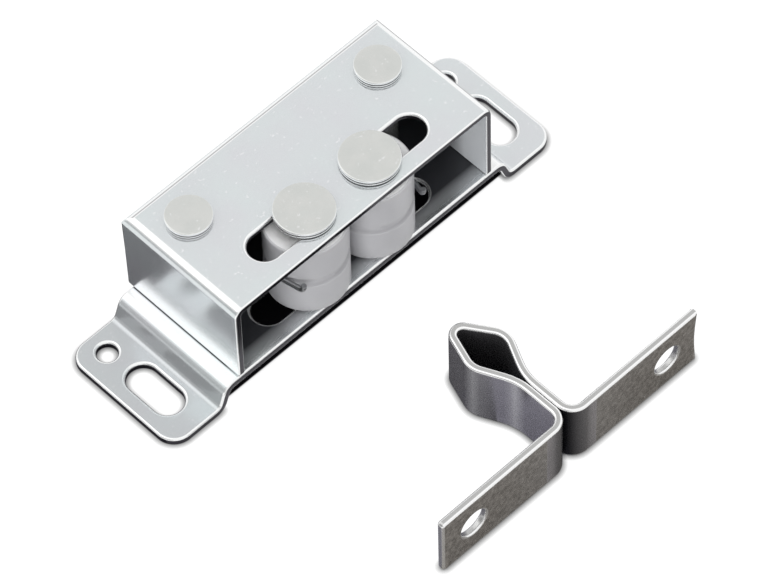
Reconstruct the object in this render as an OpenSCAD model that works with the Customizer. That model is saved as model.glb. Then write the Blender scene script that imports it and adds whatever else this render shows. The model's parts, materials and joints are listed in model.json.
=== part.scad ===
// Double roller catch: a riveted sheet-steel case with two sprung nylon rollers,
// and the folded spear strike that snaps in between them.
// The origin lies midway between the two small fixing holes, on the mounting face under the ears.
// +X runs along the case, -Y points out of its open front, +Z points away from the mounting face.

/* [Case] */
// Length of the case between the outer faces of its end walls
case_l = 48; // [46:0.5:60]
// Depth of the case from its back face to its open front
case_w = 22.3; // [21.5:0.1:26]
// Height of the cover above the top of the base plate
case_h = 15.1; // [12:0.1:20]
// Sheet thickness of the cover
cover_t = 1.0; // [0.8:0.1:1.2]
// Inner radius of the cover's bends
cover_bend = 0.5; // [0.3:0.1:1.5]
// Width by which each end wall falls back from the back wall at its foot
wall_taper = 0.8; // [0.4:0.1:1.5]
// Gap that the back wall keeps from the base plate and the end walls
seam_gap = 0.1; // [0.05:0.05:0.3]

/* [Base plate] */
// Sheet thickness of the base plate
plate_t = 1.2; // [1:0.1:1.5]
// Height of the base plate's middle above the mounting face
plate_lift = 3.7; // [3.6:0.1:6]
// Width of the ledge that stays level outside each end wall
ledge_w = 0.9; // [0.5:0.1:2]
// Slope of the step from the ledge down to the ear
step_angle = 70; // [50:1:80]
// Inner radius of the bends at the step
step_bend = 1; // [0.6:0.1:1.2]
// Reach of each ear beyond the end wall
ear_reach = 12.5; // [12:0.1:18]
// Corner radius of the ears
ear_corner = 3; // [1:0.1:4]

/* [Fixing holes] */
// Diameter of the small round hole in each ear
hole_d = 3; // [2.5:0.1:4]
// Distance of the small holes from the case's back face
hole_from_back = 4.65; // [4:0.05:6]
// Distance of the small holes from the ear's outer end
hole_from_end = 4.3; // [3.5:0.1:5]
// Width of the adjusting slot in each ear
slot_w = 4.7; // [4.4:0.1:5]
// Length of the adjusting slot over its round ends
slot_l = 9.6; // [8:0.1:10.5]
// Distance of the slot's centre from the case's front
slot_from_front = 8.65; // [8:0.05:9]
// Distance of the slot's centre from the ear's outer end
slot_from_end = 4.8; // [4.2:0.1:5.2]
// Width of the broken edge round the ear's hole and slot
edge_break = 0.35; // [0.1:0.05:0.5]

/* [Rollers] */
// Diameter of each roller
roller_d = 11.9; // [10:0.1:12.5]
// Gap between the two rollers at rest
roller_gap = 0.3; // [0.2:0.1:1]
// Distance of the roller axes behind the case's front
roller_set = 5.35; // [5:0.05:7]
// Gap between a roller's ends and the plates
roller_play = 0.3; // [0.2:0.05:0.6]
// Travel of each roller away from the middle
travel = 7.4; // [4:0.1:7.8]
// Depth of the groove round each roller that holds the spring's leg
groove_depth = 0.4; // [0.3:0.1:1]
// Width of the groove at its mouth
groove_w = 2; // [1.6:0.1:4]

/* [Axle pins] */
// Diameter of the axle pin's shank
axle_d = 4.6; // [3.6:0.1:5]
// Radial clearance of the shank in the roller
bore_clear = 0.05; // [0.02:0.01:0.1]
// Clearance of the shank on each side of its guide slots
guide_clear = 0.15; // [0.1:0.05:0.3]
// Diameter of the axle pin's head
axle_head_d = 8.7; // [7.5:0.1:9.5]
// Thickness of the rivet heads on top of the cover
head_t = 1.1; // [0.8:0.1:1.5]
// Free play between the sliding heads and the plates
slide_play = 0.1; // [0.05:0.05:0.2]
// Diameter of the washer under the base plate
washer_d = 8; // [7.5:0.1:9]
// Thickness of the washer
washer_t = 0.8; // [0.5:0.1:1]
// Diameter of the closed rivet ends under the base plate
tail_d = 6.2; // [5.8:0.1:6.8]
// Thickness of the closed rivet ends
tail_t = 0.9; // [0.7:0.1:1.2]

/* [Post rivets] */
// Diameter of the post between the plates
post_d = 5.2; // [4.8:0.1:6]
// Diameter of the riveted spigots at the post's ends
spigot_d = 3.6; // [3:0.1:4.2]
// Diameter of the post rivet's head
post_head_d = 6.7; // [6:0.1:8]
// Distance of the posts from the case's ends
post_from_end = 6.3; // [6:0.1:7]
// Distance of the posts from the case's back face
post_from_back = 6.65; // [6:0.05:7]

/* [Springs] */
// Wire diameter of the torsion springs
wire_d = 0.8; // [0.6:0.05:1]
// Clearance of the coil round its post
coil_clear = 0.2; // [0.1:0.05:0.4]
// Whole turns of the coil, to which its legs add a part turn
coil_turns = 3; // [2:1:4]
// Gap that the wire keeps from what it bears on
wire_seat = 0.1; // [0.05:0.05:0.2]
// Length by which the leg runs on past the roller
leg_end = 3.2; // [2:0.1:4]
// Height of the upturned end of that leg
leg_rise = 1.2; // [0.5:0.1:2]

/* [Strike] */
// Width of the strip that the strike is folded from
strike_w = 11; // [8:0.1:14]
// Thickness of the strip
strike_t = 1.2; // [0.8:0.1:1.5]
// Outer radius of the nose
nose_r = 2; // [1.8:0.05:3]
// Half of the angle between the nose's flanks
nose_angle = 26; // [20:1:35]
// Angle by which the nose leans to the left of its neck
nose_lean = 8; // [0:1:10]
// Length of each flank of the nose
flank_l = 3.9; // [2.5:0.1:5]
// Outer radius of the shoulders
shoulder_r = 3.75; // [3:0.05:5]
// Angle at which the shoulders close in to the neck
neck_angle = 26; // [20:1:30]
// Inner radius where the sides straighten into the neck
neck_r = 8; // [2:0.5:10]
// Gap between the two sides of the neck
neck_gap = 0.06; // [0.02:0.01:0.5]
// Length of the straight neck
neck_l = 4.6; // [3:0.1:12]
// Inner radius of the bends from the neck to the arms
arm_bend = 1.65; // [1:0.05:3]
// Overall length of the strike across its arms
strike_l = 48.2; // [40:0.1:60]
// Diameter of the screw hole in each arm
strike_hole_d = 4.6; // [3:0.1:5]
// Distance of the screw holes from the arms' ends
strike_hole_end = 5.8; // [4:0.1:8]
// Distance of the nose in front of the case
strike_gap = 17.15; // [5:0.05:40]

/* [Hidden] */
$fn = 64;
steel = "#c9cdd0";
nylon = "#e6e8e8";
eps = 0.01;
// How far a cut runs past the sheet
over = cover_t;
// Angle between the facets of a bend
bend_facet = 6;

// Levels above the mounting face
plate_top = plate_lift + plate_t;
cover_top = plate_top + case_h;
cover_under = cover_top - cover_t;
roller_bottom = plate_top + roller_play;
roller_top = cover_under - roller_play;
groove_z = (roller_bottom + roller_top) / 2;

// Places along the depth and the length
back_y = hole_from_back;
front_y = back_y - case_w;
plate_back_y = back_y - cover_t - seam_gap;
ear_end = case_l / 2 + ear_reach;
hole_x = ear_end - hole_from_end;
slot_x = ear_end - slot_from_end;
slot_y = front_y + slot_from_front;
axle_x = (roller_d + roller_gap) / 2;
axle_y = front_y + roller_set;
post_x = case_l / 2 - post_from_end;
post_y = back_y - post_from_back;
guide_w = axle_d + 2 * guide_clear;

// The leg of a spring is the line that touches the coil on one side and the roller's groove on the other
coil_r = post_d / 2 + coil_clear + wire_d / 2;
leg_off = roller_d / 2 - groove_depth + wire_d / 2 + wire_seat;
reach = [post_x - axle_x, axle_y - post_y];
leg_turn = acos((leg_off + coil_r) / norm(reach)) + atan2(reach[1], reach[0]);
leg_l = norm(reach) * sin(acos((leg_off + coil_r) / norm(reach))) + leg_end;
// The other leg leans out to the end wall by a slight turn
wall_off = case_l / 2 - cover_t - wire_d / 2 - wire_seat - post_x;
rest_turn = 14;
rest_l = (wall_off - coil_r * cos(rest_turn)) / sin(rest_turn);
coil_angle = 360 * coil_turns + 180 - rest_turn - leg_turn;
coil_pitch = wire_d * 1.1;

// A piece made for the right-hand side, or its mirror image for the left
module on_side(side) {
    mirror([side == "left" ? 1 : 0, 0, 0]) children();
}

// Both halves of a piece that is the same on either side of the middle
module both_halves() {
    children();
    mirror([1, 0, 0]) children();
}

// One face of a folded sheet, seen on its edge and off its middle, from step i on. A step is
// ["flat", length] or ["bend", middle radius, angle], where a positive angle turns to the left
function sheet_face(steps, off, i = 0, at = [0, 0], turn = 0) =
    let (left = aside(turn), step = steps[i])
    i == len(steps) ? [at + off * left]
    : step[0] == "flat"
        ? concat(
            [at + off * left],
            sheet_face(steps, off, i + 1, at + step[1] * [cos(turn), sin(turn)], turn)
        )
        : let (r = sign(step[2]) * step[1], middle = at + r * left, parts = ceil(abs(step[2]) / bend_facet))
            concat(
                [for (k = [0 : parts - 1]) middle + (off - r) * aside(turn + step[2] * k / parts)],
                sheet_face(steps, off, i + 1, middle - r * aside(turn + step[2]), turn + step[2])
            );

// Direction to the left of a heading
function aside(heading) = [-sin(heading), cos(heading)];

// Sheet of thickness t and width w, folded step by step from the origin along +X
module folded(steps, t, w) {
    outer = sheet_face(steps, t / 2);
    inner = sheet_face(steps, -t / 2);
    linear_extrude(w) polygon(concat(outer, [for (i = [len(inner) - 1 : -1 : 0]) inner[i]]));
}

// Slot with round ends, along +Y, from z1 up to z2
module slot_hole(w, l, z1, z2) {
    straight = l - w;
    for (end = [-1, 1]) translate([0, end * straight / 2, z1]) cylinder(d = w, h = z2 - z1);
    translate([-w / 2, -straight / 2, z1]) cube([w, straight, z2 - z1]);
}

// Broken edge of width c round a hole whose mouth is at z = 0
module round_break(d, c) {
    translate([0, 0, -c]) cylinder(d1 = d, d2 = d + 2 * (c + eps), h = c + eps);
}

// Broken edge of width c round a slot whose mouth is at z = 0
module slot_break(w, l, c) {
    straight = l - w;
    for (end = [-1, 1]) translate([0, end * straight / 2, 0]) round_break(w, c);
    rotate([90, 0, 0]) translate([0, 0, -straight / 2]) linear_extrude(straight) polygon([
        [-w / 2, -c], [w / 2, -c], [w / 2 + c + eps, eps], [-w / 2 - c - eps, eps]
    ]);
}

// Waste outside a round corner of radius r, whose centre is at the origin
module corner_waste(r, h) {
    difference() {
        cube([r + eps, r + eps, h]);
        translate([0, 0, -eps]) cylinder(r = r, h = h + 2 * eps);
    }
}

// Guide slot for an axle pin, from its place at rest to the end of its travel
module guide_slot(z1, z2) {
    translate([axle_x + travel / 2, axle_y, 0]) rotate(90) slot_hole(guide_w, travel + guide_w, z1, z2);
}

// Rivet head that stands on z = 0, with a rounded rim and a faint crown
module rivet_head(d, t) {
    rim = t * 0.3;
    crown = t * 0.08;
    rotate_extrude() polygon([
        [0, 0], [d / 2, 0], [d / 2, t - rim - crown], [d / 2 - rim * 0.3, t - rim * 0.3 - crown],
        [d / 2 - rim, t - crown], [0, t]
    ]);
}

// Base plate: one strip, stepped down at both ends to the ears that are screwed to the cabinet
module base_plate() {
    depth = plate_back_y - front_y;
    mid_r = step_bend + plate_t / 2;
    riser = (plate_lift - 2 * mid_r * (1 - cos(step_angle))) / sin(step_angle);
    start = case_l / 2 + ledge_w;
    step_w = 2 * mid_r * sin(step_angle) + riser * cos(step_angle);
    steps = [
        ["flat", start], ["bend", mid_r, -step_angle], ["flat", riser], ["bend", mid_r, step_angle],
        ["flat", ear_end - start - step_w]
    ];
    color(steel) difference() {
        both_halves() translate([0, plate_back_y, plate_lift + plate_t / 2])
            rotate([90, 0, 0]) folded(steps, plate_t, depth);
        both_halves() {
            translate([ear_end - ear_corner, plate_back_y - ear_corner, -over])
                corner_waste(ear_corner, plate_t + 2 * over);
            translate([ear_end - ear_corner, front_y + ear_corner, -over]) mirror([0, 1, 0])
                corner_waste(ear_corner, plate_t + 2 * over);
            translate([hole_x, 0, -over]) cylinder(d = hole_d, h = plate_t + 2 * over);
            translate([hole_x, 0, plate_t]) round_break(hole_d, edge_break);
            translate([slot_x, slot_y, 0]) slot_hole(slot_w, slot_l, -over, plate_t + over);
            translate([slot_x, slot_y, plate_t]) slot_break(slot_w, slot_l, edge_break);
            guide_slot(plate_lift - over, plate_top + over);
            translate([post_x, post_y, plate_lift - over])
                cylinder(d = spigot_d + 2 * bore_clear, h = plate_t + 2 * over);
        }
    }
}

// Outline of a sheet's bend on one or both sides: an arch of width w and height h with round upper corners
module arch(w, h, r) {
    translate([-w / 2, 0]) square([w, h - r]);
    translate([r - w / 2, 0]) square([w - 2 * r, h]);
    for (side = [-1, 1]) translate([side * (w / 2 - r), h - r]) circle(r);
}

// Block with rounded ends and a rounded back, from z up to top: the outside or the inside of the cover
module case_block(l, back, z, top, r) {
    depth = 2 * (back - front_y + over);
    intersection() {
        translate([0, back + over, z]) rotate([90, 0, 0]) linear_extrude(depth / 2 + over) arch(l, top - z, r);
        translate([-l / 2 - over, back - depth / 2, z]) rotate([90, 0, 90])
            linear_extrude(l + 2 * over) arch(depth, top - z, r);
    }
}

// Cover: one sheet folded down at both ends and at the back, open at the front
module cover() {
    outer_r = cover_bend + cover_t;
    wall_in = back_y - cover_t;
    seam_top = cover_top - outer_r;
    half = case_l / 2;
    color(steel) difference() {
        case_block(case_l, back_y, plate_lift, cover_top, outer_r);
        case_block(case_l - 2 * cover_t, wall_in, plate_lift - over, cover_under, cover_bend);
        // The open front
        translate([-half - over, front_y - 2 * over, plate_lift - over])
            cube([case_l + 2 * over, 2 * over, case_h + plate_t + 2 * over]);
        // The end walls stand on the base plate, and the back wall reaches down behind it
        translate([-half - over, front_y - over, plate_lift - over])
            cube([case_l + 2 * over, wall_in - front_y + over, plate_t + over]);
        both_halves() {
            // Open seam between an end wall and the back wall, widening to the foot
            translate([half - cover_t - over, 0, 0]) rotate([90, 0, 90])
                linear_extrude(cover_t + 2 * over) polygon([
                    [wall_in, seam_top], [wall_in - seam_gap, seam_top],
                    [wall_in - wall_taper, plate_lift], [wall_in, plate_lift]
                ]);
            guide_slot(cover_under - over, cover_top + over);
            translate([post_x, post_y, cover_under - over])
                cylinder(d = spigot_d + 2 * bore_clear, h = cover_t + 2 * over);
        }
    }
}

// Post rivet: a shouldered pin that spaces the cover from the base plate and carries a spring
module post_rivet(side) {
    color(steel) on_side(side) translate([post_x, post_y, 0]) {
        translate([0, 0, plate_top]) cylinder(d = post_d, h = cover_under - plate_top);
        translate([0, 0, plate_lift]) cylinder(d = spigot_d, h = cover_top - plate_lift);
        translate([0, 0, cover_top]) rivet_head(post_head_d, head_t);
        translate([0, 0, plate_lift]) mirror([0, 0, 1]) rivet_head(tail_d, tail_t);
    }
}

// Axle pin: headed above the cover and closed over its washer, free to slide along the guide slots
module axle_pin(side) {
    foot = plate_lift - slide_play - washer_t;
    color(steel) on_side(side) translate([axle_x, axle_y, 0]) {
        translate([0, 0, foot]) cylinder(d = axle_d, h = cover_top + slide_play - foot);
        translate([0, 0, cover_top + slide_play]) rivet_head(axle_head_d, head_t);
        translate([0, 0, foot]) mirror([0, 0, 1]) rivet_head(tail_d, tail_t);
    }
}

// Washer that keeps the axle pin's closed end from passing through the guide slot
module axle_washer(side) {
    color(steel) on_side(side) translate([axle_x, axle_y, plate_lift - slide_play - washer_t]) difference() {
        cylinder(d = washer_d, h = washer_t);
        translate([0, 0, -over]) cylinder(d = axle_d + 2 * bore_clear, h = washer_t + 2 * over);
    }
}

// Roller: a moulded sleeve, with a shallow groove at mid height for the spring's leg
module roller(side) {
    r = roller_d / 2;
    floor_w = groove_w - groove_depth;
    edge = 0.3;
    color(nylon) on_side(side) translate([axle_x, axle_y, 0]) rotate_extrude() polygon([
        [axle_d / 2 + bore_clear, roller_bottom], [r - edge, roller_bottom], [r, roller_bottom + edge],
        [r, groove_z - groove_w / 2], [r - groove_depth, groove_z - floor_w / 2],
        [r - groove_depth, groove_z + floor_w / 2], [r, groove_z + groove_w / 2],
        [r, roller_top - edge], [r - edge, roller_top], [axle_d / 2 + bore_clear, roller_top]
    ]);
}

// Middle of the spring's wire: the leg on the wall, the coil down to the groove, the leg on the roller
function coil_point(a) = [coil_r * cos(a), coil_r * sin(a), 0];
function wire_path() =
    let (
        first = 180 - rest_turn,
        count = ceil(coil_angle / 20),
        rise = coil_pitch * coil_angle / 360,
        rest_dir = [sin(first), -cos(first), 0],
        leg_dir = [sin(leg_turn), -cos(leg_turn), 0]
    )
    concat(
        [coil_point(first) - rest_l * rest_dir + [0, 0, rise]],
        [for (i = [0 : count]) coil_point(first - coil_angle * i / count) + [0, 0, rise * (1 - i / count)]],
        [for (up = [0, leg_rise]) coil_point(leg_turn) + (leg_l + up / 2) * leg_dir + [0, 0, up]]
    );

// Round wire swept along a path that stays close to level
module swept_wire(path, d, sides) {
    last = len(path) - 1;
    along = [for (i = [0 : last]) path[min(i + 1, last)] - path[max(i - 1, 0)]];
    points = [
        for (i = [0 : last])
            let (
                t = along[i] / norm(along[i]),
                out = cross(t, [0, 0, 1]) / norm(cross(t, [0, 0, 1])),
                up = cross(out, t)
            )
            for (k = [0 : sides - 1])
                path[i] + d / 2 * (cos(360 * k / sides) * out + sin(360 * k / sides) * up)
    ];
    skin = [
        for (i = [0 : last - 1], k = [0 : sides - 1])
            let (a = i * sides + k, b = i * sides + (k + 1) % sides)
            each [[a, a + sides, b], [b, a + sides, b + sides]]
    ];
    caps = [[for (k = [0 : sides - 1]) k], [for (k = [sides - 1 : -1 : 0]) last * sides + k]];
    polyhedron(points, concat(skin, caps));
}

// Torsion spring: its coil sits on a post, one leg bears on the end wall and the other on the roller
module spring(side) {
    color("#8f9498") mirror([side == "left" ? 0 : 1, 0, 0])
        translate([-post_x, post_y, groove_z]) swept_wire(wire_path(), wire_d, 8);
}

// Middle line of the strike's nose on one side, from its tip to where a flank at this angle has turned
// into the taper: how far it reaches to the side, and how far back
function nose_half(angle) =
    let (tip = nose_r - strike_t / 2, shoulder = shoulder_r - strike_t / 2)
    [
        tip * cos(angle) + flank_l * sin(angle) + shoulder * (cos(neck_angle) - cos(angle)),
        tip * (1 - sin(angle)) + flank_l * cos(angle) + shoulder * (sin(angle) + sin(neck_angle))
    ];

// Strike: one strip folded into a leaning spear nose, a closed neck and two arms
module strike() {
    mid = strike_t / 2;
    neck_mid = neck_r + mid;
    arm_mid = arm_bend + mid;
    neck_x = mid + neck_gap / 2;
    right_half = nose_half(nose_angle + nose_lean);
    left_half = nose_half(nose_angle - nose_lean);
    // The lean moves the tip to the left, so that both shoulders stand as far from the neck
    tip_x = (left_half[0] - right_half[0]) / 2;
    shoulder_x = (left_half[0] + right_half[0]) / 2;
    taper_l = (shoulder_x - neck_x - neck_mid * (1 - cos(neck_angle))) / sin(neck_angle);
    arm_l = strike_l / 2 - neck_x - arm_mid;
    nose_y = front_y - strike_gap;
    color("#a9abad") difference() {
        for (side = ["left", "right"]) {
            angle = nose_angle + (side == "left" ? -nose_lean : nose_lean);
            steps = [
                ["bend", nose_r - mid, angle - 90], ["flat", flank_l],
                ["bend", shoulder_r - mid, -angle - neck_angle], ["flat", taper_l], ["bend", neck_mid, neck_angle],
                ["flat", neck_l + nose_half(nose_angle)[1] - nose_half(angle)[1]],
                ["bend", arm_mid, 90], ["flat", arm_l]
            ];
            translate([tip_x, nose_y - mid, 0]) on_side(side) folded(steps, strike_t, strike_w);
        }
        both_halves() translate([strike_l / 2 - strike_hole_end, nose_y, strike_w / 2])
            rotate([90, 0, 0]) cylinder(d = strike_hole_d, h = strike_l);
    }
}

base_plate();
cover();
post_rivet("left");  // left_post_rivet
post_rivet("right");  // right_post_rivet
axle_pin("left");  // left_axle_pin
axle_pin("right");  // right_axle_pin
axle_washer("left");  // left_axle_washer
axle_washer("right");  // right_axle_washer
roller("left");  // left_roller
roller("right");  // right_roller
spring("left");  // left_spring
spring("right");  // right_spring
strike();
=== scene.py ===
"""Double roller catch: the looks of its riveted sheet-steel case, sprung nylon rollers and folded strike.

Lengths are in millimetres until a mesh is made, in the frame of the solids: +X along the case, -Y out of its
open front, +Z away from the mounting face.
"""

import json

import bmesh
import bpy
import numpy as np
from mathutils import Matrix, Vector
from mathutils.geometry import delaunay_2d_cdt


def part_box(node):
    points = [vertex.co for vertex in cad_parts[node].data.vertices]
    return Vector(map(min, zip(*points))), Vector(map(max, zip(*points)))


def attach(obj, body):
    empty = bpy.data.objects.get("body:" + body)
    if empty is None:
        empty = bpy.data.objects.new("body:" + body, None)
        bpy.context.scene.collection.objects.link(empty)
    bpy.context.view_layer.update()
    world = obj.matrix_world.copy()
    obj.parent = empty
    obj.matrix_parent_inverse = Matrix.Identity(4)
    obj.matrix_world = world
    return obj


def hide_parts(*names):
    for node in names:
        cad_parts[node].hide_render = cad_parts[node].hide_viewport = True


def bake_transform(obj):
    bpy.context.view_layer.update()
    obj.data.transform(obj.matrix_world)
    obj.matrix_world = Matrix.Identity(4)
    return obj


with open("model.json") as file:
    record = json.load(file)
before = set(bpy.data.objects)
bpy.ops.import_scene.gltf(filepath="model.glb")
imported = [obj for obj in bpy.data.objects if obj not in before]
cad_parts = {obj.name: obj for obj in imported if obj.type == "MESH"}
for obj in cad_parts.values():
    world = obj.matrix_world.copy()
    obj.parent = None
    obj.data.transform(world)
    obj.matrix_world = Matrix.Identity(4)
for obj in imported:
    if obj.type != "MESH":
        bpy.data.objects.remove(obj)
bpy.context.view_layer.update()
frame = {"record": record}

# Base plate
# One strip of zinc-plated steel, blanked with its holes and slots and stepped down at both ends to the
# ears by a press. The punch has rolled its edges round. The post rivets hold the cover on it.
MM = 0.001
plate_low, plate_high = np.array(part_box("base_plate")) / MM
cover_low, cover_high = np.array(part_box("cover")) / MM
roller_low, roller_high = np.array(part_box("right_roller")) / MM
post_low, post_high = np.array(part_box("right_post_rivet")) / MM
mounts = {mount["name"]: mount for mount in frame["record"]["mounts"]}

PLATE_T = 1.2
STEP_ANGLE = 70
STEP_BEND = 1
LEDGE_W = 0.9
EAR_CORNER = 3
EAR_SLOT = (4.7, 9.6)
GUIDE_W = 4.9
TRAVEL = 7.4
SPIGOT_D = 3.7
PLATE_RIM = (0.4, 0.15)
HOLE_RIM = (0.5, 0.15)
EDGE_FACETS = 4
BEND_FACET = 7.5
LEDGE_CUTS = (0, 0.1, 0.35, LEDGE_W)
# Painted highlight band on the step's upper bend, by angle.
LEDGE_SHEEN = [(-30, 0), (-20, 0.5), (22, 0.5), (36, 0)]
# Painted shade: inside the case the plate darkens away from the open front, and the left riser and left ear
# are darkened.
INSIDE_SHADE = 0.5
INSIDE_SHADE_IN = (0.5, 3)
EAR_SHADE = 0.13
RISER_SHADE = 0.24
RISER_BLUR = 1.2
TOUCH = 0.01
SPECK_MM = 0.55

case_half = cover_high[0]
axle = (roller_low + roller_high) / 2
post = (post_low + post_high) / 2
plate_lift = plate_high[2] - PLATE_T


def outline(corners, facet=9):
    """Closed outline through corners of x, y and radius, anticlockwise. Each corner becomes the arc of
    its radius that touches both sides there, in steps of facet degrees at most, and a radius of 0 keeps
    it sharp."""
    corners = np.array(corners, float)
    arcs = []
    for before, corner, after in zip(np.roll(corners, 1, 0), corners, np.roll(corners, -1, 0)):
        radius = corner[2]
        back = (before - corner)[:2] / np.hypot(*(before - corner)[:2])
        ahead = (after - corner)[:2] / np.hypot(*(after - corner)[:2])
        half = np.arccos(back @ ahead) / 2
        middle = corner[:2] + (back + ahead) / np.hypot(*(back + ahead)) * radius / np.sin(half)
        first = corner[:2] + back * radius / np.tan(half) - middle
        sweep = np.copysign(np.pi - 2 * half, back[1] * ahead[0] - back[0] * ahead[1])
        steps = int(np.ceil(np.degrees(abs(sweep)) / facet)) + 1 if radius else 1
        angle = np.arctan2(first[1], first[0]) + np.linspace(0, sweep, steps)
        arcs.append(middle + radius * np.column_stack((np.cos(angle), np.sin(angle))))
    loop = np.vstack(arcs)
    return loop[np.hypot(*(np.roll(loop, -1, 0) - loop).T) > 1e-6]


def opening(x, y, width, length):
    """Outline of a slot with round ends, or of a round hole where both sizes agree, clockwise."""
    radius = min(width, length) / 2
    sides = [(-1, -1), (1, -1), (1, 1), (-1, 1)]
    return outline([(x + i * width / 2, y + j * length / 2, radius) for i, j in sides])[::-1]


def crossed(loop, axis, places):
    """The loop with a point added wherever one of its sides crosses a place along an axis."""
    side_vector = np.roll(loop, -1, 0) - loop
    with np.errstate(divide="ignore", invalid="ignore"):
        share = (np.asarray(places) - loop[:, axis, None]) / side_vector[:, axis, None]
    side, line = np.nonzero((share > 1e-6) & (share < 1 - 1e-6))
    share = share[side, line]
    order = np.argsort(np.append(np.arange(len(loop)), side + share), kind="stable")
    return np.vstack((loop, loop[side] + share[:, None] * side_vector[side]))[order]


def within(places, loops):
    """Whether each place lies in the sheet: a line from it along +X crosses the loops an odd number of
    times."""
    first = np.vstack(loops)
    last = np.vstack([np.roll(loop, -1, 0) for loop in loops])
    x, y = places[:, 0, None], places[:, 1, None]
    astride = (first[:, 1] > y) != (last[:, 1] > y)
    with np.errstate(divide="ignore", invalid="ignore"):
        meets = first[:, 0] + (y - first[:, 1]) * (last - first)[:, 0] / (last - first)[:, 1]
    return (astride & (meets > x)).sum(1) % 2 == 1


def filled(rims, cuts, creases):
    """Triangles that fill the space inside the first rim and outside the others. They end at the cuts,
    which run right across, and at the creases, which run from point to point."""
    corners = np.vstack(rims)
    edges = []
    for rim in rims:
        row = len(edges) + np.arange(len(rim))
        edges += np.column_stack((row, np.roll(row, -1))).tolist()
    low, high = corners.min(0), corners.max(0)
    for axis, places in cuts:
        ends = np.repeat([low, high], len(places), 0)
        ends[:, axis] = np.tile(places, 2)
        row = len(corners) + np.arange(len(places))
        edges += np.column_stack((row, row + len(places))).tolist()
        corners = np.vstack((corners, ends))
    for crease in creases:
        edges.append([len(corners), len(corners) + 1])
        corners = np.vstack((corners, crease))
    found = delaunay_2d_cdt([Vector(corner) for corner in corners], edges, [], 0, 1e-7)
    flat = np.array([corner[:] for corner in found[0]])
    triangles = np.array(found[2])
    return flat, triangles[within(flat[triangles].mean(1), rims)]


def sheet(loops, rims, thickness, cuts, creases=()):
    """Flat sheet inside its first loop and outside the others, as points and faces. The rim along a loop
    is an edge profile carried along it, a quarter round on the upper and on the lower side with a radius
    for each. Both faces fill the space between the rims with triangles that end at the cuts, each an axis
    and the places along it, and at the creases. The last result is each point's painted mark: 0 on the
    faces, 0.5 on the quarter rounds, which take a painted highlight, and 1 on the sheared band between
    them, dark as raw cut steel and as painted shade."""
    cuts = [(axis, np.unique(places)) for axis, places in cuts]
    for axis, places in cuts:
        loops = [crossed(loop, axis, places) for loop in loops]
    swing = np.radians(np.linspace(90, 0, EDGE_FACETS + 1))
    # Painted highlight on the quarter rounds, and a dark sheared band that is raw cut steel and painted
    # shade.
    rim_wear = np.full(2 * len(swing), 0.5)
    rim_wear[[0, -1]] = 0
    rim_wear[[EDGE_FACETS, EDGE_FACETS + 1]] = 1
    points = []
    faces = []
    wear = []
    count = 0
    for loop, (upper, lower) in zip(loops, rims):
        inset = np.append(upper * (1 - np.cos(swing)), lower * (1 - np.cos(swing[::-1])))
        height = np.append(upper * (np.sin(swing) - 1), lower * (1 - np.sin(swing[::-1])) - thickness)
        height += thickness / 2
        along = np.roll(loop, -1, 0) - loop
        out = np.column_stack((along[:, 1], -along[:, 0])) / np.hypot(*along.T)[:, None]
        before = np.roll(out, 1, 0)
        mitre = (out + before) / (1 + (out * before).sum(1))[:, None]
        ring = loop[:, None] - inset[:, None] * mitre[:, None]
        points.append(np.dstack((ring, np.broadcast_to(height, ring.shape[:2]))))
        grid = count + np.arange(ring[..., 0].size).reshape(ring.shape[:2])
        beside = np.roll(grid, -1, 0)
        quads = np.stack((grid[:, :-1], grid[:, 1:], beside[:, 1:], beside[:, :-1]), -1)
        faces += quads.reshape(-1, 4).tolist()
        wear.append(np.tile(rim_wear, len(loop)))
        count += grid.size

    rings = points.copy()
    for side, row in ((1, 0), (-1, -1)):
        flat, triangles = filled([ring[:, row, :2] for ring in rings], cuts, creases)
        points.append(np.column_stack((flat, np.full(len(flat), side * thickness / 2))))
        faces += (count + triangles[:, ::side]).tolist()
        wear.append(np.zeros(len(flat)))
        count += len(flat)
    return np.vstack([block.reshape(-1, 3) for block in points]), faces, np.concatenate(wear)


def fold_lines(steps):
    """Distances along a folded strip at which a bend starts, ends or turns by another facet."""
    lines = []
    start = 0
    for length, turn in steps:
        if turn:
            lines.append(np.linspace(start, start + length, int(np.ceil(abs(turn) / BEND_FACET)) + 1))
        start += length
    return np.concatenate(lines)


def fold(along, height, steps):
    """Where points of a flat strip come to lie once it is folded, in the plane across the folds. A step
    is a length of the middle line and the angle by which it turns evenly over that length, so the middle
    line is made of straight lines and arcs, and a point's height is set off square to it."""
    length, turn = np.array(steps, float).T
    turn = np.radians(turn)
    start = np.cumsum(length) - length
    heading = np.cumsum(turn) - turn
    aim = heading + turn / 2
    chord = length * np.sinc(turn / (2 * np.pi))
    leap = chord[:, None] * np.column_stack((np.cos(aim), np.sin(aim)))
    place = np.cumsum(leap, 0) - leap
    step = np.clip(np.searchsorted(start, along, "right") - 1, 0, len(start) - 1)
    gone = along - start[step]
    swing = turn[step] * gone / length[step]
    chord = gone * np.sinc(swing / (2 * np.pi))
    aim = heading[step] + swing / 2
    heading = heading[step] + swing
    on_line = place[step] + chord[:, None] * np.column_stack((np.cos(aim), np.sin(aim)))
    return on_line + height[:, None] * np.column_stack((-np.sin(heading), np.cos(heading)))


def bend(radius, turn):
    """One step of a folded strip: an arc whose middle line has this radius."""
    return (radius * np.radians(abs(turn)), turn)


def painted_bend_sheen(over, radius, height, stops):
    """Painted highlight bands, with painted dark lines between them, on the outside of a bend whose middle
    line has this radius, given how far points lie over the bend's start. The bands are given as stops of
    angle and mark value."""
    angle, wear = np.transpose(stops)
    return np.where(height > 0, np.interp(np.degrees(over / radius), angle, wear), 0)


def linear(code):
    """Linear colour of an sRGB hex code."""
    part = np.array([int(code[i:i + 2], 16) for i in (1, 3, 5)]) / 255
    part = np.where(part <= 0.04045, part / 12.92, ((part + 0.055) / 1.055) ** 2.4)
    return (*part.tolist(), 1.0)


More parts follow.
